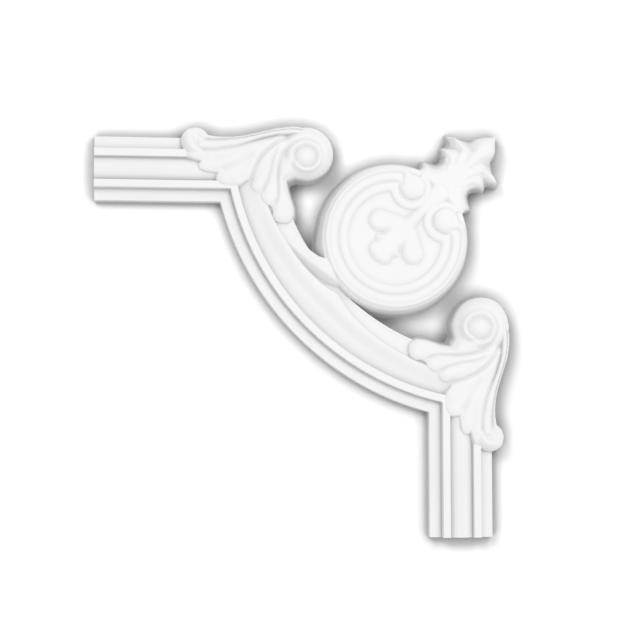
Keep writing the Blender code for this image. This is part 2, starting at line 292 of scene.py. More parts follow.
def medallionForm(x, y):
    # rings turned about the centre; on both sides of the diagonal the outer band ends in a round curl
    m = medallion
    dx, dy = x - m["centre"], y - m["centre"]
    r = np.hypot(dx, dy)
    fromDiagonal = np.abs((np.degrees(np.arctan2(dy, dx)) - 45 + 180) % 360 - 180)
    upper = dy > dx
    ballX, ballY = np.where(upper, x, y) - m["curl"][0], np.where(upper, y, x) - m["curl"][1]
    ballAway = np.hypot(ballX, ballY)
    radii, heights = np.array(m["rings"]).T

    # inner band: it follows the ring and wraps round each curl
    ringPart = np.where(fromDiagonal > m["gap"] - 2, np.minimum(r, m["groove"]), 0)
    wrap = m["groove"] - (ballAway - m["curlRadius"] - m["wrapAway"]) * m["wrapRate"]
    b = np.minimum(softMax(ringPart, wrap, m["wrapBlend"]), m["groove"])
    level = np.interp(b, radii, heights)

    # outer band: its edge turns in round the curl, and the lip turns with it
    turnedIn = m["turnedEdge"] - ballAway
    alongBand = (fromDiagonal - m["bandEnds"]) * np.radians(1) * r
    blend = m["turnBlend"]
    outer = softMax(softMin(m["face"] - r, alongBand, blend), turnedIn, blend)
    roundBall = (np.degrees(np.arctan2(ballY, ballX)) + 90) % 360
    starts, ends = m["outsideRuns"]
    outside = smoothStep(*starts, roundBall) * smoothStep(*ends, roundBall)
    lip = np.interp(m["face"] - outer, radii, heights) - m["bandHeight"]
    bandTop = m["bandHeight"] + lip * np.where(fromDiagonal > m["lipEnds"], 1, outside)
    curlFall = m["curlFall"][0] - m["curlFall"][1] * outside
    dome = m["curlHeight"] - curlFall * np.clip(ballAway / m["curlRadius"], 0, 1.5) ** m["curlPower"]
    ball = m["curlRadius"] + m["curlSpread"] * outside - ballAway
    inBand = softMax(softMin(r - m["groove"], outer, m["bandBlend"]), ball, m["ballBlend"])
    onBall = smoothStep(*m["curlEdge"], ballAway - m["curlRadius"])
    rim = bandTop * (1 - onBall) + dome * onBall
    rim = softMin(rim, m["rimFoot"][0] + m["rimFoot"][1] * inBand, m["footBlend"])
    top = np.where(rim > level, rim, level)
    foot = m["foot"] + m["spread"] * bump(np.degrees(np.arctan2(dy, dx)) % 360, *m["spreadTowards"])
    height, wall = walled(top, foot - r, m["wallHeight"] / (foot - m["face"]), m["rimRound"])
    # labels: 1 in the field, and 8 more on the wall
    return height, (r < m["field"]) + 8 * wall


sprig = {
    "height": 2.5,
    "shoulder": 4.2,
    "blend": 1.6,
    "reach": 2.0,  # how far past its outline a lobe is worked out
    "stemDrop": 0.7,
    "stemRun": (126.0, 140.0),  # x + y where the stem starts to drop, and where it has dropped
    "mirrored": (
        # root, tip, root radius, tip radius: head, stalk, two lobes of the middle head, side bump
        ((52.0, 60.4), (39.6, 62.0), 6.0, 8.0),
        ((58.0, 57.0), (48.0, 59.0), 6.0, 5.4),
        ((42.0, 41.5), (36.6, 43.0), 6.0, 5.0),
        ((44.0, 49.0), (38.8, 50.4), 4.0, 2.6),
    ),
    "middle": (
        # middle head, heart, bud, stem towards the palmette
        ((50.0, 50.0), (41.0, 41.0), 8.0, 8.2),
        ((55.0, 55.0), (52.5, 52.5), 7.6, 8.2),
        ((64.0, 64.0), (61.8, 61.8), 4.6, 5.0),
        ((64.0, 64.0), (86.0, 86.0), 3.4, 9.0),
    ),
}


def sprigForm(x, y):
    # lobes joined in plan; the flank is a quarter round: rise x (1 - (1 - depth / shoulder)^2)
    s = sprig
    depth = np.full(x.shape, below)
    for lobe in s["middle"]:
        depth = softMax(depth, petalDepth(x, y, *lobe)[0], s["blend"])
    for lobe in s["mirrored"]:
        depth = softMax(depth, petalDepth(x, y, *lobe)[0], s["blend"])
        depth = softMax(depth, petalDepth(y, x, *lobe)[0], s["blend"])
    t = np.clip(1 - depth / s["shoulder"], 0, None)
    rise = s["height"] - s["stemDrop"] * smoothStep(*s["stemRun"], x + y)
    top = medallion["rings"][0][1] + rise * (1 - t * t)
    return np.where(depth > -s["reach"], top, below), np.zeros(x.shape, int)


strip = {
    "startShare": 0.18,  # share of the way from left leaf to lower leaf, as the next one is
    "fullShare": 0.42,
    "startStep": 0.2,
    "topHeight": 19.2,
    "wallWidth": (0.6, 4.4),  # at the start, gained on the climb
    "wallRound": (0.8, 1.4),  # at the start, gained on the climb
    "overEdge": (3.0, 0.27, 0.34),  # width gained, share where it starts, share where it ends
    "overMedallion": (14.0, 0.32, 0.42),
    "leavesMedallion": (0.58, 0.50),
    "ringEdge": 49.2,
    "ringFall": 0.5,
    "sinkDepth": 9.2,
    "sinksFrom": 0.39,
    "sinksTo": 0.58,
    "creasesUntil": 0.3,
    "firstShare": 0.02,
    "beforeCrease": 0.5,
}


def stripForm(x, y):
    # from the left leaf the strip climbs, its outer edge becomes the medallion's rim and sinks into it
    m, s = moulding, strip
    o, share = arcPlace(x, y)
    climb = smoothStep(s["startShare"], s["fullShare"], share)
    sink = smoothStep(s["sinksFrom"], s["sinksTo"], share)
    start = m["stripHeight"] + s["startStep"]
    top = start + (s["topHeight"] - start) * climb
    crease = creaseOffset(np.minimum(share, 0.5))  # past the middle it keeps the middle's place
    outer = crease + s["wallWidth"][0] + s["wallWidth"][1] * climb
    edgeGain, medallionGain = (gain * smoothStep(start, end, share)
                               for gain, start, end in (s["overEdge"], s["overMedallion"]))
    inner = m["width"] + edgeGain + medallionGain * smoothStep(*s["leavesMedallion"], share)
    rise = (top - m["stripHeight"]) / (outer - crease)
    wall = m["stripHeight"] + rise * (o - crease)
    height = softMin(top + (1 - climb) * edgeLip(o), wall, s["wallRound"][0] + s["wallRound"][1] * climb)
    height = height - s["sinkDepth"] * sink
    height = np.minimum(height, m["wall"] * (inner - o))
    fromCentre = np.hypot(x - medallion["centre"], y - medallion["centre"])
    height = height - s["ringFall"] * np.maximum(s["ringEdge"] - fromCentre, 0)
    inDomain = (share > s["firstShare"]) & (share < s["sinksTo"]) & (o > crease - s["beforeCrease"])
    return np.where(inDomain, height, below), ((o > outer) & (climb < s["creasesUntil"])).astype(int)


# Palmette that grows out of the medallion on the diagonal

palmette = {
    "flat": 17.9,
    "edge": 15.4,
    "bevel": 3.8,
    "spine": (0.25, 2.4),  # height, half width
    "spineRun": (165.0, 180.0),  # x + y where the spine starts and is full
    "startsAt": 60.0,
    "startsAlong": 145.0,  # x + y
    "base": ((82.0, 83.5), (76.0, 84.5), (72.0, 88.0), (67.6, 91.0)),
    "upperFace": (
        (66.4, 95.6), (73.0, 99.3), (76.0, 97.4), (80.0, 96.9), (83.5, 98.6), (85.8, 102.0),
        (85.8, 105.5), (84.3, 110.3), (92.0, 110.5), (94.0, 110.3), (93.0, 113.0), (91.5, 117.0),
        (91.0, 119.8), (95.0, 117.0), (98.5, 114.0), (101.0, 112.0), (104.0, 110.8), (106.0, 114.0),
        (109.0, 117.0), (114.0, 118.8),
    ),
    "lowerFace": (
        (65.8, 95.4), (71.5, 100.0), (75.0, 98.5), (80.0, 97.8), (84.0, 100.0), (85.9, 104.0),
        (86.0, 110.0), (86.3, 111.0), (92.5, 110.5), (91.0, 114.0), (89.0, 117.0), (88.3, 120.7),
        (93.0, 118.5), (97.0, 114.5), (100.5, 111.5), (102.5, 110.8), (104.5, 113.5), (106.5, 117.0),
        (109.5, 119.2), (114.5, 119.4),
    ),
    "foot": (
        (65.4, 95.8), (68.6, 99.6), (70.8, 105.2), (75.5, 104.3), (80.5, 103.2), (82.5, 104.0),
        (84.0, 106.5), (84.2, 110.0), (82.8, 114.0), (87.6, 115.6), (88.0, 117.5), (86.4, 123.6),
        (91.5, 122.6), (97.0, 121.0), (104.5, 119.5), (108.0, 121.8), (113.0, 123.2),
    ),
    "creases": (
        # root, notch, half width at each
        ((84.0, 94.0), (86.6, 104.0), 0.4, 2.0),
        ((90.0, 97.0), (94.4, 110.6), 0.4, 2.4),
        ((97.0, 99.5), (104.2, 111.4), 0.4, 2.4),
    ),
    "creaseSlope": 0.5,
    "creaseReach": 2.0,
    "faceTip": (120.0, 120.0),
    "footTip": (122.6, 122.6),
}


def palmetteForm(x, y):
    # drafted walls between the foot's outline and the face's outline, and a face with a rounded bevel
    p = palmette
    upper, lower, foot, base = (np.array(p[part]) for part in ("upperFace", "lowerFace", "foot", "base"))
    faceLine = np.vstack([base, upper, p["faceTip"], lower[::-1, ::-1], base[::-1, ::-1]])
    footLine = np.vstack([base, foot, p["footTip"], foot[::-1, ::-1], base[::-1, ::-1]])
    near = (x + y > p["startsAlong"]) & (x > p["startsAt"]) & (y > p["startsAt"])
    inFace, inFoot = np.full(x.shape, below), np.full(x.shape, below)
    inFace[near] = insideOutline(x[near], y[near], faceLine)
    inFoot[near] = insideOutline(x[near], y[near], footLine)
    t = np.clip(1 - inFace / p["bevel"], 0, 1)
    spineHeight, spineWidth = p["spine"]
    spine = spineHeight * bump((x - y) / math.sqrt(2), 0, spineWidth) * smoothStep(*p["spineRun"], x + y)
    face = p["edge"] + (p["flat"] - p["edge"] + spine) * (1 - t * t)
    for crease in p["creases"]:
        side = np.maximum(petalDepth(x, y, *crease)[0], petalDepth(y, x, *crease)[0])
        face = face - p["creaseSlope"] * np.clip(side, 0, p["creaseReach"])
    wall = p["edge"] * inFoot / np.maximum(inFoot - np.minimum(inFace, 0), 0.01)
    height = np.where(inFace > 0, face, np.where(inFoot > 0, wall, below))
    return height, (inFace > 0).astype(int)


# Acanthus leaf with its ribbon, rolled tip and volute, given for the left side

leaf = {
    "outline": (
        # edge of the leaf's face, from the ribbon's end round the lobes to the volute, then back inside
        (-88.0, 109.0), (-89.0, 104.4), (-85.0, 102.6), (-79.8, 101.2), (-81.8, 98.6), (-81.2, 96.0),
        (-78.0, 94.6), (-70.0, 93.8), (-67.8, 94.2), (-69.4, 92.0), (-69.6, 89.0), (-68.0, 87.0),
        (-64.0, 85.5), (-58.0, 85.0), (-54.0, 86.0), (-50.0, 88.6), (-46.8, 87.6), (-46.2, 83.4),
        (-44.0, 81.0), (-40.2, 79.6), (-39.4, 76.0), (-37.0, 72.6), (-33.4, 71.4), (-31.8, 68.0),
        (-32.0, 64.5), (-30.2, 61.4), (-27.0, 59.9), (-22.6, 60.0), (-19.6, 62.0), (-18.5, 65.2),
        (-18.7, 70.0), (-20.2, 75.0), (-22.2, 81.0), (-23.4, 88.0), (-18.0, 90.5), (-10.0, 98.0),
        (-12.0, 116.0), (-26.0, 121.0), (-50.0, 115.0), (-66.0, 111.0),
    ),
    "edgeHeight": 14.4,
    "edgeSlope": 0.9,
    "wall": (3.6, 4.5),  # slope on the left, slope on the right
    "wallChanges": (-56.0, -46.0),  # plan x
    "lobes": (
        # root, tip, root radius, tip radius, height at root, height at tip
        ((-30.0, 113.0), (-84.0, 106.0), 7.5, 5.0, 17.2, 14.4),
        ((-33.0, 111.0), (-76.5, 98.6), 8.0, 5.6, 16.8, 14.4),
        ((-35.0, 108.0), (-64.0, 91.4), 8.5, 6.4, 16.8, 14.2),
        ((-36.0, 104.0), (-56.0, 91.0), 7.5, 6.2, 16.6, 14.2),
    ),
    "lobeEdge": (5.5, 1.6, 1.4),  # shoulder, fall, blend
    "hangingLobes": (
        ((-35.0, 106.0), (-41.0, 86.0), 5.6, 5.8, 17.2, 14.6),
        ((-30.0, 104.0), (-34.2, 77.6), 5.4, 6.2, 17.8, 14.8),
        ((-24.4, 99.0), (-25.4, 67.0), 4.6, 7.2, 18.6, 15.4),
    ),
    "hangingEdge": (5.0, 1.8, 0.9),  # shoulder, fall, blend
    "creases": (
        # path, depth, half width: the fold before the hanging leaf, and grooves between the lobes
        (((-48.5, 84.5), (-46.6, 90.0), (-44.6, 96.0), (-40.9, 103.2), (-34.4, 110.2), (-26.0, 116.0),
          (-17.0, 119.0)), 1.9, 1.2),
        (((-67.0, 94.4), (-60.0, 98.6), (-52.0, 102.6), (-43.0, 106.5)), 0.8, 1.8),
        (((-74.0, 101.6), (-64.0, 103.4), (-54.0, 106.4), (-44.0, 110.5)), 0.4, 2.0),
        (((-40.4, 79.4), (-36.6, 87.0), (-34.2, 95.0), (-32.4, 104.0), (-27.0, 112.5)), 1.1, 1.1),
        (((-32.0, 70.6), (-29.4, 77.0), (-29.2, 85.0), (-29.0, 95.0), (-26.6, 105.0), (-21.6, 112.5)),
         1.3, 1.0),
    ),
    "creaseFades": ((-0.02, 0.10), (1.0, 0.8)),  # shares of the path, at its start and end
    "ribbonFold": (1.5, 0.2, 1.5),  # depth, distance from the ribbon, half width
    "ribbonFoldEnds": (-18.0, -24.0),  # plan x
    "hangingBlend": 0.8,
    "rimBlend": 1.2,
    "voluteBlend": 2.4,
}

ribbon = {
    # plan x, then plan y of the outer edge, of the crease between the two rolls and of the inner edge
    "x": (-84, -80, -75, -70, -65, -60, -55, -50, -45, -40, -30, -20, -15, -10, -5, 0),
    "outer": (121.8, 120.2, 118.4, 117.7, 117.6, 117.6, 118.2, 119.0, 120.2, 121.5, 124.0, 125.2, 125.2,
              124.0, 121.5, 118.2),
    "crease": (115.8, 115.5, 115.4, 115.4, 115.6, 116.0, 116.6, 117.3, 118.4, 119.6, 121.9, 123.0, 122.9,
               121.6, 119.4, 116.0),
    "inner": (109.4, 108.6, 108.2, 108.6, 109.5, 110.3, 111.4, 113.0, 114.8, 116.4, 118.7, 119.3, 119.2,
              118.6, 116.8, 113.6),
    "topX": (-84, -70, -50, -30, -18),
    "top": (14.9, 15.3, 16.3, 17.3, 17.6),
    "sinks": (
        # depth, plan x where it starts, plan x where it is reached
        (6.0, -15.0, 2.0),
        (3.0, -81.5, -85.0),
    ),
    "outerDrop": 0.5,
    "outerFall": 1.9,
    "innerFall": 2.4,
    "wallHeight": 12.6,
    "wall": (6.5, 2.4),  # slope outside the outer edge, slope inside it
    "underHeight": 13.6,
    "underWall": 5.0,
    "outerShares": (-0.5, 1.2),  # shares of a roll's width between which it curves, as the next ones are
    "innerShares": (-0.6, 1.2),
    "wallBlend": 0.8,
    "underBlend": 1.2,
    "blend": 0.3,
    "reach": (-87.0, 2.0),  # plan x
}

volute = {
    "centre": (-9.4, 107.0),
    "radius": 19.4,
    "neck": ((-9.0, 98.6), (-19.0, 99.2), 11.0, 10.4),  # root, tip, root radius, tip radius
    "neckBlend": 1.0,
    "wall": 9.0,
    "flank": 8.5,
    "flankFall": 6.4,
    "eye": (-11.0, 103.6),
    "eyeRadius": 6.0,
    "eyeHeight": 24.3,
    "eyeFall": 2.6,
    "eyePower": 2.6,
    "eyeBlend": 0.7,
    "edgeRound": 1.0,
    "coilHeight": 20.4,
    "coilFall": 0.30,
    "coilFlat": 8.0,
    "coilStart": 200.0,  # degrees
    "rollRuns": ((0, 40), (360, 345)),  # degrees where the ridge fades in and out
    "leftTurn": 60.0,
    # degrees clockwise from the start, distance of the ridge from the eye
    "ridge": ((0, 11.6), (45, 10.4), (90, 9.8), (180, 10.4), (270, 9.4), (360, 7.8)),
    "ridgeProfile": (
        # height, distance out from the ridge, half width, height that is added on the left
        (1.6, 0.0, 1.6, 0.0),
        (-0.9, -3.0, 1.3, 0.0),
        (-0.1, 3.0, 1.7, -1.0),
    ),
}

rolledTip = {
    "centre": (-84.3, 114.2),
    "radius": 10.8,
    "wall": 9.0,
    "edgeRound": 1.6,
    "flank": 7.0,
    "flankFall": 4.4,
    "crest": (
        (-90.0, 122.0), (-88.6, 117.0), (-87.5, 113.0), (-86.0, 110.0), (-84.0, 108.0), (-81.0, 106.9),
        (-75.0, 106.0),
    ),
    "crestHeight": 15.8,
    "crestClimb": 0.075,
    "dip": 1.9,
    "dipRun": (0.2, 3.0),
}


def lobesHeight(x, y, lobes, shoulder, fall, blend):
    # each lobe is crowned and drops away at its edge: top - fall x (1 - depth / shoulder)^2
    height = np.full(x.shape, below)
    for root, tip, rootRadius, tipRadius, rootHeight, tipHeight in lobes:
        depth, share = petalDepth(x, y, root, tip, rootRadius, tipRadius)
        top = rootHeight + (tipHeight - rootHeight) * share
        t = np.clip(1 - depth / shoulder, 0, None)
        height = softMax(height, top - fall * t * t, blend)
    return height


def leafTop(x, y):
    # crowned lobes with a wall at the outline; each fold is a groove: depth x exp(-(distance / width)^2)
    face = lobesHeight(x, y, leaf["lobes"], *leaf["lobeEdge"])
    hanging = lobesHeight(x, y, leaf["hangingLobes"], *leaf["hangingEdge"])
    depth = insideOutline(x, y, np.array(leaf["outline"]))
    first, last = leaf["wall"]
    steep = first + (last - first) * smoothStep(*leaf["wallChanges"], x)
    rim = leaf["edgeHeight"] + np.where(depth < 0, steep, leaf["edgeSlope"]) * depth
    height = softMin(softMax(face, hanging, leaf["hangingBlend"]), rim, leaf["rimBlend"])
    besideRibbon = y - np.interp(x, ribbon["x"], ribbon["inner"])
    deep, away, width = leaf["ribbonFold"]
    height = height - deep * bump(besideRibbon, away, width) * smoothStep(*leaf["ribbonFoldEnds"], x)
    fadeIn, fadeOut = leaf["creaseFades"]
    for path, deep, width in leaf["creases"]:
        away, share = alongPath(x, y, smoothPath(path, 4))
        fade = smoothStep(*fadeIn, share) * smoothStep(*fadeOut, share)
        height = height - deep * bump(away, 0, width) * fade
    return height, depth > 0


def voluteTop(x, y):
    # a round eye, a ridge that coils in round it, and a flank that rounds down to the volute's edge
    v = volute
    ex, ey = x - v["eye"][0], y - v["eye"][1]
    q = np.hypot(ex, ey)
    clockwise = (v["coilStart"] - np.degrees(np.arctan2(ey, ex))) % 360
    turn, radius = np.array(v["ridge"]).T
    ridge = np.interp(clockwise, turn, radius)
    rollIn, rollOut = v["rollRuns"]
    roll = smoothStep(*rollIn, clockwise) * smoothStep(*rollOut, clockwise)
    left = 0.5 + 0.5 * np.cos(np.radians(clockwise - v["leftTurn"]))
    raised = sum((rise + more * left) * bump(q, ridge + away, width)
                 for rise, away, width, more in v["ridgeProfile"])
    coil = v["coilHeight"] - v["coilFall"] * np.maximum(q - v["coilFlat"], 0) + roll * raised
    dome = v["eyeHeight"] - v["eyeFall"] * np.clip(q / v["eyeRadius"], 0, 2) ** v["eyePower"]
    edge = v["radius"] - np.hypot(x - v["centre"][0], y - v["centre"][1])
    edge = softMax(edge, petalDepth(x, y, *v["neck"])[0], v["neckBlend"])
    t = np.clip(1 - edge / v["flank"], 0, 1)
    top = softMax(coil - v["flankFall"] * t * t, dome, v["eyeBlend"])
    return walled(top, edge, v["wall"], v["edgeRound"])[0]


def ribbonTop(x, y):
    # two rolls side by side; each is a parabola between its edges, and they sink into the volute
    r = ribbon
    outer, crease, inner = (np.interp(x, r["x"], r[line]) for line in ("outer", "crease", "inner"))
    top = np.interp(x, r["topX"], r["top"])
    sink = sum(deep * smoothStep(start, end, x) for deep, start, end in r["sinks"])
    a = (y - crease) / (outer - crease)
    b = (y - inner) / (crease - inner)
    outerRoll = top - r["outerDrop"] - r["outerFall"] * (2 * np.clip(a, *r["outerShares"]) - 1) ** 2
    innerRoll = top - r["innerFall"] * np.abs(2 * np.clip(b, *r["innerShares"]) - 1) ** 3
    rolls = np.where(a > 0, outerRoll, innerRoll) - sink
    wall = r["wallHeight"] + np.where(y > outer, *r["wall"]) * (outer - y)
    under = r["underHeight"] + r["underWall"] * (y - inner)
    height = softMin(softMin(rolls, wall, r["wallBlend"]), under, r["underBlend"])
    first, last = r["reach"]
    return np.where((x > first) & (x < last), height, below), (a > 0).astype(int)


def tipTop(x, y):
    # the rolled tip climbs from its round outline to a crest, and dips before the ribbon's end
    r = rolledTip
    edge = r["radius"] - np.hypot(x - r["centre"][0], y - r["centre"][1])
    behind = alongPath(x, y, smoothPath(r["crest"]))[0]
    climb = r["crestClimb"] * np.maximum(-behind, 0) ** 2
    crest = r["crestHeight"] - climb - r["dip"] * smoothStep(*r["dipRun"], behind)
    t = np.clip(1 - edge / r["flank"], 0, 1)
    return walled(crest - r["flankFall"] * t * t, edge, r["wall"], r["edgeRound"])[0]


def scrollForm(x, y):
    # leaf and volute blend into each other; the ribbon and the rolled tip lie on top
    leafHeight, onLeaf = leafTop(x, y)
    body = np.maximum(softMax(leafHeight, voluteTop(x, y), leaf["voluteBlend"]), tipTop(x, y))
    ribbonHeight, outerRoll = ribbonTop(x, y)
    zone = np.where(ribbonHeight > body, 2 + outerRoll, 0) + onLeaf
    return softMax(body, ribbonHeight, ribbon["blend"]), zone


# The lower leaf is a little larger: its volute reaches further out than the left one

lean = {
    "leaf": 1.0,
    "leafRun": (84.0, 94.0),  # plan y
    "volute": 2.7,
    "voluteAlong": (-72.0, -24.0),  # plan x
    "voluteAcross": (88.0, 116.0),  # plan y
    "side": 1.8,
    "sideRun": (-8.0, 12.0),  # plan x
}


def leanBack(x, y):
    # where a point of the lower leaf, given as its mirror image, lies on the left leaf
    backX = x - lean["side"] * smoothStep(*lean["sideRun"], x)
    reach = smoothStep(*lean["voluteAlong"], backX) * smoothStep(*lean["voluteAcross"], y)
    return backX, y - lean["leaf"] * smoothStep(*lean["leafRun"], y) - lean["volute"] * reach


forms = (
    # form, on which sides of the diagonal it stands
    (mouldingForm, "both"), (medallionForm, "both"), (sprigForm, "both"), (stripForm, "both"),
    (palmetteForm, "both"), (scrollForm, "each"),
)
scrollReach = {"left": -98, "right": 14, "lowest": 50}


def relief(x, y):
    # the height is the largest of all forms; the label says which form and which part of it won
    height = np.full(x.shape, below)
    label = np.zeros(x.shape, int)
    for k, (form, sides) in enumerate(forms):
        turns = ((x, y), leanBack(y, x)) if sides == "each" else ((x, y),)
        for n, (px, py) in enumerate(turns):
            if sides == "each":
                mask = (px < scrollReach["right"]) & (px > scrollReach["left"]) & (py > scrollReach["lowest"])
            else:
                mask = np.ones(x.shape, bool)
            h, zone = np.full(x.shape, below), np.zeros(x.shape, int)
            h[mask], zone[mask] = form(px[mask], py[mask])
            wins = h > height
            height = np.where(wins, h, height)
            label = np.where(wins, 1000 * (2 * k + n + 1) + zone, label)
    outside = (height <= 0) | (x < moulding["legEnd"]) | (y < moulding["legEnd"])
    return np.where(outside, 0, height), np.where(outside, -1, label)


# White primer on the casting, with painted shade in its recesses: how far that shade reaches, in grid points
# and in millimetres of depth

primer = {
    "colour": (0.84, 0.84, 0.845, 1.0),
    "patchColour": (0.80, 0.80, 0.805, 1.0),
    "patchSize": 34.0,
    # painted shade: the colour that the primer greys to in the recesses, and how far round and how deep it
    # reaches
    "recessShadeColour": (0.56, 0.56, 0.565, 1.0),
    "recessShadeReach": 4,
    "recessShadeDepth": 3.2,
    "roughness": (0.50, 0.66),  # smoothest, dullest
    "sheenSize": 12.0,
    "grainSize": 0.9,
    "grainDepth": 0.05,
}


# The mesh: a grid whose points slide onto the outline and the creases

grid = {
    "fine": 0.57,  # spacing where the ornament is
    "coarse": 2.8,  # spacing along the plain ends of the legs
    "plainUntil": -97.0,
    "highest": 132.0,
    "endCut": 0.02,  # how far in from a cut end the first full line runs
    "halvings": 7,  # steps that find a crease between two points
    "outlineFirst": 10,  # millimetres by which the outline goes before a crease
    "sharpAngle": 58.0,  # degrees
}


def gridLines():
    g, end = grid, moulding["legEnd"]
    plain = np.linspace(end + g["endCut"], g["plainUntil"], round((g["plainUntil"] - end) / g["coarse"]) + 1)
    fine = np.arange(g["plainUntil"] + g["fine"], g["highest"] + g["fine"], g["fine"])
    return np.concatenate([[end], plain, fine])


def slideToCreases(x, y, label):
    # a point slides along a grid line to where the label changes, if that is in its own half of the line
    rows, columns = x.shape
    bestAway = np.full(x.shape, np.inf)
    bestX, bestY = x.copy(), y.copy()
    onOutline = np.zeros(x.shape, bool)
    for dj, di in ((0, 1), (0, -1), (1, 0), (-1, 0)):
        here = (slice(max(0, -dj), rows - max(0, dj)), slice(max(0, -di), columns - max(0, di)))
        there = (slice(max(0, dj), rows + min(0, dj)), slice(max(0, di), columns + min(0, di)))
        differs = label[here] != label[there]
        ax, ay, mine = x[here][differs], y[here][differs], label[here][differs]
        dx, dy = x[there][differs] - ax, y[there][differs] - ay
        low, high = np.zeros(len(ax)), np.ones(len(ax))
        for _ in range(grid["halvings"]):
            middle = (low + high) / 2
            same = relief(ax + dx * middle, ay + dy * middle)[1] == mine
            low, high = np.where(same, middle, low), np.where(same, high, middle)
        past = relief(ax + dx * high, ay + dy * high)[1]
        outline = (mine == -1) | (past == -1)
        away = high * np.hypot(dx, dy) - np.where(outline, grid["outlineFirst"], 0)
        better = (high <= 0.5) & (away < bestAway[here][differs])
        spot = np.zeros(label.shape, bool)
        spot[here] = differs
        index = np.flatnonzero(spot)[better]
        bestAway.flat[index] = away[better]
        bestX.flat[index] = (ax + dx * high)[better]
        bestY.flat[index] = (ay + dy * high)[better]
        onOutline.flat[index] = outline[better]
    return bestX, bestY, onOutline


def simpleOutline(faces):
    # False for each face at a point where the outline crosses itself, so that the back closes on one line
    keep = np.ones(len(faces), bool)
    for _ in range(4):
        kept = faces[keep]
        ends = np.sort(np.vstack([kept[:, [0, 1]], kept[:, [1, 2]], kept[:, [2, 0]]]), axis=1)
        edges, shared = np.unique(ends, axis=0, return_counts=True)
        corners, count = np.unique(edges[shared == 1], return_counts=True)
        keep &= ~np.isin(faces, corners[count > 2]).any(axis=1)
    return keep


def nearbyMean(value, solid, reach):
    # mean of the solid points in a square of grid points, taken twice so that it weighs the near ones more
    size = 2 * reach + 1
    for _ in range(2):
        sums = []
        for layer in (value * solid, solid.astype(float)):
            for axis in (0, 1):
                margin = [(0, 0), (0, 0)]
                margin[axis] = (reach + 1, reach)
                passed = np.moveaxis(np.cumsum(np.pad(layer, margin), axis), axis, 0)
                layer = np.moveaxis(passed[size:] - passed[:-size], 0, axis)
            sums.append(layer)
        value = sums[0] / np.maximum(sums[1], 1)
    return value


def castMesh(name):
    # front only: two triangles for each cell inside the outline; the back is closed afterwards by closeBack
    lines = gridLines()
    gx, gy = np.meshgrid(lines, lines)
    label = relief(gx, gy)[1]
    px, py, onOutline = slideToCreases(gx, gy, label)
    height = np.where(onOutline, 0, relief(px, py)[0])
    ended = (gx <= moulding["legEnd"]) | (gy <= moulding["legEnd"])
    inEnd = ended & (label != -1)
    onOutline |= inEnd
    height = np.where(ended, 0, height)
    solid = (label != -1) | onOutline
    # painted shade: the further a point lies below the mean height of the points around it, the greyer its
    # primer
    around = nearbyMean(relief(gx, gy)[0], label != -1, primer["recessShadeReach"])
    recessShade = np.clip((around - height) / primer["recessShadeDepth"], 0, 1)

    size = len(lines)
    number = np.arange(size * size).reshape(size, size)
    a, b, c, d = number[:-1, :-1], number[:-1, 1:], number[1:, 1:], number[1:, :-1]
    a, b, c, d = (corner.ravel() for corner in (a, b, c, d))
    h, ok = height.ravel(), solid.ravel()
    split = np.abs(h[b] - h[d]) < np.abs(h[a] - h[c])
    split = np.where(~ok[a] | ~ok[c], True, np.where(~ok[b] | ~ok[d], False, split))
    first = np.where(split[:, None], np.stack([a, b, d], 1), np.stack([a, b, c], 1))
    second = np.where(split[:, None], np.stack([b, c, d], 1), np.stack([a, c, d], 1))
    faces = np.vstack([first, second])
    faces = faces[ok[faces].all(axis=1)]
    flat = onOutline.ravel()[faces].all(axis=1)
    middleX, middleY = px.ravel()[faces].mean(axis=1), py.ravel()[faces].mean(axis=1)
    keep = ~flat
    keep[flat] = relief(middleX[flat], middleY[flat])[0] > 0
    faces = faces[keep]
    faces = faces[simpleOutline(faces)]

    used, index = np.unique(faces, return_inverse=True)
    faces = index.reshape(-1, 3)
    points = np.stack([px.ravel()[used], -h[used], py.ravel()[used]], 1) * mm
    mesh = bpy.data.meshes.new(name)
    mesh.vertices.add(len(points))
    mesh.vertices.foreach_set("co", points.ravel())
    mesh.loops.add(faces.size)
    mesh.loops.foreach_set("vertex_index", faces.ravel())
    mesh.polygons.add(len(faces))
    mesh.polygons.foreach_set("loop_start", np.arange(0, faces.size, 3))
    mesh.update(calc_edges=True)
    mesh.attributes.new("recessShade", "FLOAT", "POINT").data.foreach_set("value", recessShade.ravel()[used])
    return mesh


def closeBack(mesh):
    # one flat face on the outline; a triangle with two of its edges there is dropped first
    form = bmesh.new()
    form.from_mesh(mesh)
    ears = [face for face in form.faces if sum(edge.is_boundary for edge in face.edges) > 1]
    bmesh.ops.delete(form, geom=ears, context="FACES")
    rim = [edge for edge in form.edges if edge.is_boundary]
    print("outline edges:", len(rim), "of", len(form.faces), "faces")
    back = bmesh.ops.contextual_create(form, geom=rim)["faces"]
    bmesh.ops.triangulate(form, faces=back)
    bmesh.ops.recalc_face_normals(form, faces=form.faces)
    odd = [edge for edge in form.edges if not edge.is_manifold]
    print("edges that aren't shared by two faces:", len(odd))
    form.to_mesh(mesh)
    form.free()


def addCasting():
    mesh = castMesh("cornerMoulding")
    closeBack(mesh)
    mesh.shade_smooth()
    mesh.set_sharp_from_angle(angle=math.radians(grid["sharpAngle"]))
    casting = bpy.data.objects.new("cornerMouldingCast", mesh)
    bpy.context.scene.collection.objects.link(casting)
    print("casting:", len(mesh.polygons), "faces")
    return casting


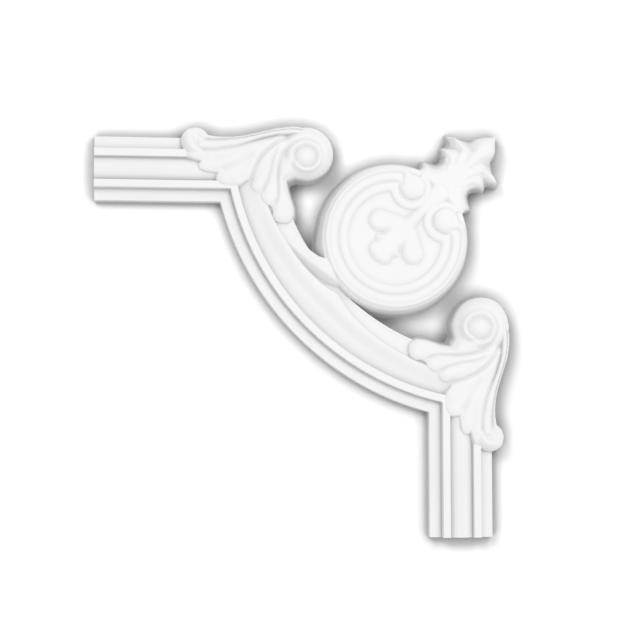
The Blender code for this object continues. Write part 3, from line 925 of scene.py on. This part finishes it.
def primerMaterial():
    # white coat: faint cloudy patches, painted shade that greys the recesses, and a fine grain from the mould
    material = bpy.data.materials.new("primedWhite")
    material.use_nodes = True
    nodes, links = material.node_tree.nodes, material.node_tree.links
    shader = nodes["Principled BSDF"]
    place = nodes.new("ShaderNodeTexCoord")

    def noise(size, detail):
        texture = nodes.new("ShaderNodeTexNoise")
        texture.inputs["Scale"].default_value = 1 / (size * mm)
        texture.inputs["Detail"].default_value = detail
        links.new(place.outputs["Object"], texture.inputs["Vector"])
        return texture.outputs["Fac"]

    def mixed(factor, first, second):
        mix = nodes.new("ShaderNodeMix")
        mix.data_type = "RGBA"
        links.new(factor, mix.inputs["Factor"])
        for socket, colour in (("A", first), ("B", second)):
            if isinstance(colour, tuple):
                mix.inputs[socket].default_value = colour
            else:
                links.new(colour, mix.inputs[socket])
        return mix.outputs["Result"]

    patches = mixed(noise(primer["patchSize"], 3), primer["colour"], primer["patchColour"])
    # painted shade in the recesses, kept off the flat back
    recessShadeAttribute = nodes.new("ShaderNodeAttribute")
    recessShadeAttribute.attribute_name = "recessShade"
    shape = nodes.new("ShaderNodeNewGeometry")
    split = nodes.new("ShaderNodeSeparateXYZ")
    links.new(shape.outputs["True Normal"], split.inputs["Vector"])
    onFront = nodes.new("ShaderNodeMath")  # the flat back has no recesses
    onFront.operation = "LESS_THAN"
    onFront.inputs[1].default_value = 0.5
    links.new(split.outputs["Y"], onFront.inputs[0])
    grey = nodes.new("ShaderNodeMath")
    grey.operation = "MULTIPLY"
    links.new(recessShadeAttribute.outputs["Fac"], grey.inputs[0])
    links.new(onFront.outputs["Value"], grey.inputs[1])
    recessShadedBase = mixed(grey.outputs["Value"], patches, primer["recessShadeColour"])
    links.new(recessShadedBase, shader.inputs["Base Color"])

    sheen = nodes.new("ShaderNodeMapRange")
    sheen.inputs["To Min"].default_value, sheen.inputs["To Max"].default_value = primer["roughness"]
    links.new(noise(primer["sheenSize"], 2), sheen.inputs["Value"])
    links.new(sheen.outputs["Result"], shader.inputs["Roughness"])

    grain = nodes.new("ShaderNodeBump")
    grain.inputs["Distance"].default_value = primer["grainDepth"] * mm
    links.new(noise(primer["grainSize"], 2), grain.inputs["Height"])
    links.new(grain.outputs["Normal"], shader.inputs["Normal"])
    return material


# Stage: the photograph's view, the wall and the light

view = {
    "tilt": (-0.0669, 0.1053, 0.0014),  # radians about the plan's x, y and height axes
    "shift": (-0.8309, 4.6944),  # millimetres
    "distance": 999.2,  # millimetres
    "focal": 1470.4,  # pixels of the photograph
    "frameWidth": 640,
    "sensor": 36.0,
}


def addCamera():
    # the view is a turn about the plan's x, y and height axes, then a step back
    a, b, c = view["tilt"]
    turn = np.array([[math.cos(c), -math.sin(c), 0], [math.sin(c), math.cos(c), 0], [0, 0, 1]])
    turn = turn @ np.array([[1, 0, 0], [0, math.cos(a), -math.sin(a)], [0, math.sin(a), math.cos(a)]])
    turn = turn @ np.array([[math.cos(b), 0, math.sin(b)], [0, 1, 0], [-math.sin(b), 0, math.cos(b)]])
    place = turn.T @ np.array([-view["shift"][0], -view["shift"][1], view["distance"]]) * mm
    toWall = np.array([[1, 0, 0], [0, 0, -1], [0, 1, 0]])
    axes = toWall @ turn.T
    camera = bpy.data.cameras.new("photoView")
    camera.sensor_width = view["sensor"]
    camera.lens = view["focal"] / view["frameWidth"] * view["sensor"]
    eye = bpy.data.objects.new("photoView", camera)
    eye.matrix_world = Matrix.Translation(Vector(toWall @ place)) @ Matrix(axes.tolist()).to_4x4()
    bpy.context.scene.collection.objects.link(eye)
    bpy.context.scene.camera = eye


backdrop = {
    "reach": 3.0,  # metres, as the next one is
    "behind": 0.0003,
    "backDepth": 1e-5,  # metres out of the wall within which a face belongs to the back
    "join": 1e-7,  # metres within which two points are one
    "roughness": 0.9,
    "grey": 0.72,
    # painted shadow: close to the casting the wall's colour darkens to this grey, within this reach
    "paintedShadowGrey": 0.20,
    "paintedShadowReach": 0.011,  # metres
    "paintedShadowShares": (0.45, 0.97),  # how open the wall's surroundings are where it is darkest and plain
    "paintedShadowSamples": 4,
}


def wallMesh(casting):
    # a square round the casting's own back outline, so that light reaches the back from behind
    form = bmesh.new()
    form.from_mesh(casting.data)
    tree = BVHTree.FromBMesh(form)
    front = [face for face in form.faces if min(vert.co.y for vert in face.verts) < -backdrop["backDepth"]]
    bmesh.ops.delete(form, geom=front, context="FACES")
    form.verts.index_update()
    plan = [vert.co.xz for vert in form.verts]
    rim = [tuple(vert.index for vert in edge.verts) for edge in form.edges if edge.is_boundary]
    form.free()
    plan += [Vector((u, v)) * backdrop["reach"] for u, v in ((-1, -1), (1, -1), (1, 1), (-1, 1))]
    plan, _, faces, _, _, _ = delaunay_2d_cdt(plan, rim, [], 0, backdrop["join"])
    points = np.insert(np.array(plan), 1, backdrop["behind"], axis=1)
    centres = points[np.array(faces)].mean(axis=1)
    free = [face for face, centre in zip(faces, centres) if not tree.ray_cast(centre, (0, -1, 0))[0]]
    mesh = bpy.data.meshes.new("wall")
    mesh.from_pydata(points, [], free)
    print("wall:", len(mesh.polygons), "faces")
    return mesh


def wallPaint():
    # plain pale paint with a painted shadow that darkens it close to the casting, and clear from behind
    b = backdrop
    paint = bpy.data.materials.new("wallPaint")
    paint.use_nodes = True
    nodes, links = paint.node_tree.nodes, paint.node_tree.links
    shader = nodes["Principled BSDF"]
    shader.inputs["Roughness"].default_value = b["roughness"]
    # painted shadow: the base colour darkens where the casting closes in on the wall
    close = nodes.new("ShaderNodeAmbientOcclusion")
    close.samples = b["paintedShadowSamples"]
    close.inputs["Distance"].default_value = b["paintedShadowReach"]
    shade = nodes.new("ShaderNodeMapRange")
    shade.inputs["From Min"].default_value, shade.inputs["From Max"].default_value = b["paintedShadowShares"]
    shade.inputs["To Min"].default_value = b["paintedShadowGrey"]
    shade.inputs["To Max"].default_value = b["grey"]
    links.new(close.outputs["AO"], shade.inputs["Value"])
    links.new(shade.outputs["Result"], shader.inputs["Base Color"])
    clear = nodes.new("ShaderNodeBsdfTransparent")
    facing = nodes.new("ShaderNodeNewGeometry")
    mix = nodes.new("ShaderNodeMixShader")
    links.new(facing.outputs["Backfacing"], mix.inputs["Fac"])
    links.new(shader.outputs["BSDF"], mix.inputs[1])
    links.new(clear.outputs["BSDF"], mix.inputs[2])
    links.new(mix.outputs["Shader"], nodes["Material Output"].inputs["Surface"])
    return paint


def addWall(casting):
    wall = bpy.data.objects.new("wall", wallMesh(casting))
    wall.data.materials.append(wallPaint())
    bpy.context.scene.collection.objects.link(wall)
    return wall


studio = {
    "worldStrength": 0.74,
    "keyPlace": (0.24, -1.4, 0.24),  # metres, as the sizes are
    "keySize": 0.7,
    "keyPower": 8.0,  # watts
    "wallLightAside": 0.6,
    "wallLightAway": 0.95,
    "wallLightSize": 0.6,
    "wallLights": (
        # to the right or left, up or down, power
        (-1, 1, 9.0), (1, 1, 4.0), (-1, -1, 4.0), (1, -1, 2.0),
    ),
}


def addLight(name, place, size, power, receivers):
    # a round soft light, aimed at the middle, that reaches only the given objects; the others still throw
    # their shadow in it
    lamp = bpy.data.lights.new(name, "AREA")
    lamp.shape = "DISK"
    lamp.size = size
    lamp.energy = power
    light = bpy.data.objects.new(name, lamp)
    aim = (-Vector(place)).to_track_quat("-Z", "Y")
    light.matrix_world = Matrix.Translation(place) @ aim.to_matrix().to_4x4()
    bpy.context.scene.collection.objects.link(light)
    lit = bpy.data.collections.new(name + "Receivers")
    for receiver in receivers:
        lit.objects.link(receiver)
    light.light_linking.receiver_collection = lit


def addStudio(casting, wall):
    addLight("softKey", studio["keyPlace"], studio["keySize"], studio["keyPower"], [casting])
    aside, away = studio["wallLightAside"], studio["wallLightAway"]
    for right, up, power in studio["wallLights"]:
        addLight("wallLight", (aside * right, -away, aside * up), studio["wallLightSize"], power, [wall])
    world = bpy.data.worlds.new("studio")
    world.use_nodes = True
    background = world.node_tree.nodes["Background"]
    background.inputs["Color"].default_value = (1, 1, 1, 1)
    background.inputs["Strength"].default_value = studio["worldStrength"]
    bpy.context.scene.world = world
    bpy.context.scene.view_settings.view_transform = "Standard"


casting = addCasting()
casting.data.materials.append(primerMaterial())
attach(casting, "root")
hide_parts("corner_moulding")

addCamera()
wall = addWall(casting)
addStudio(casting, wall)
print("camera, wall and lights are in place")
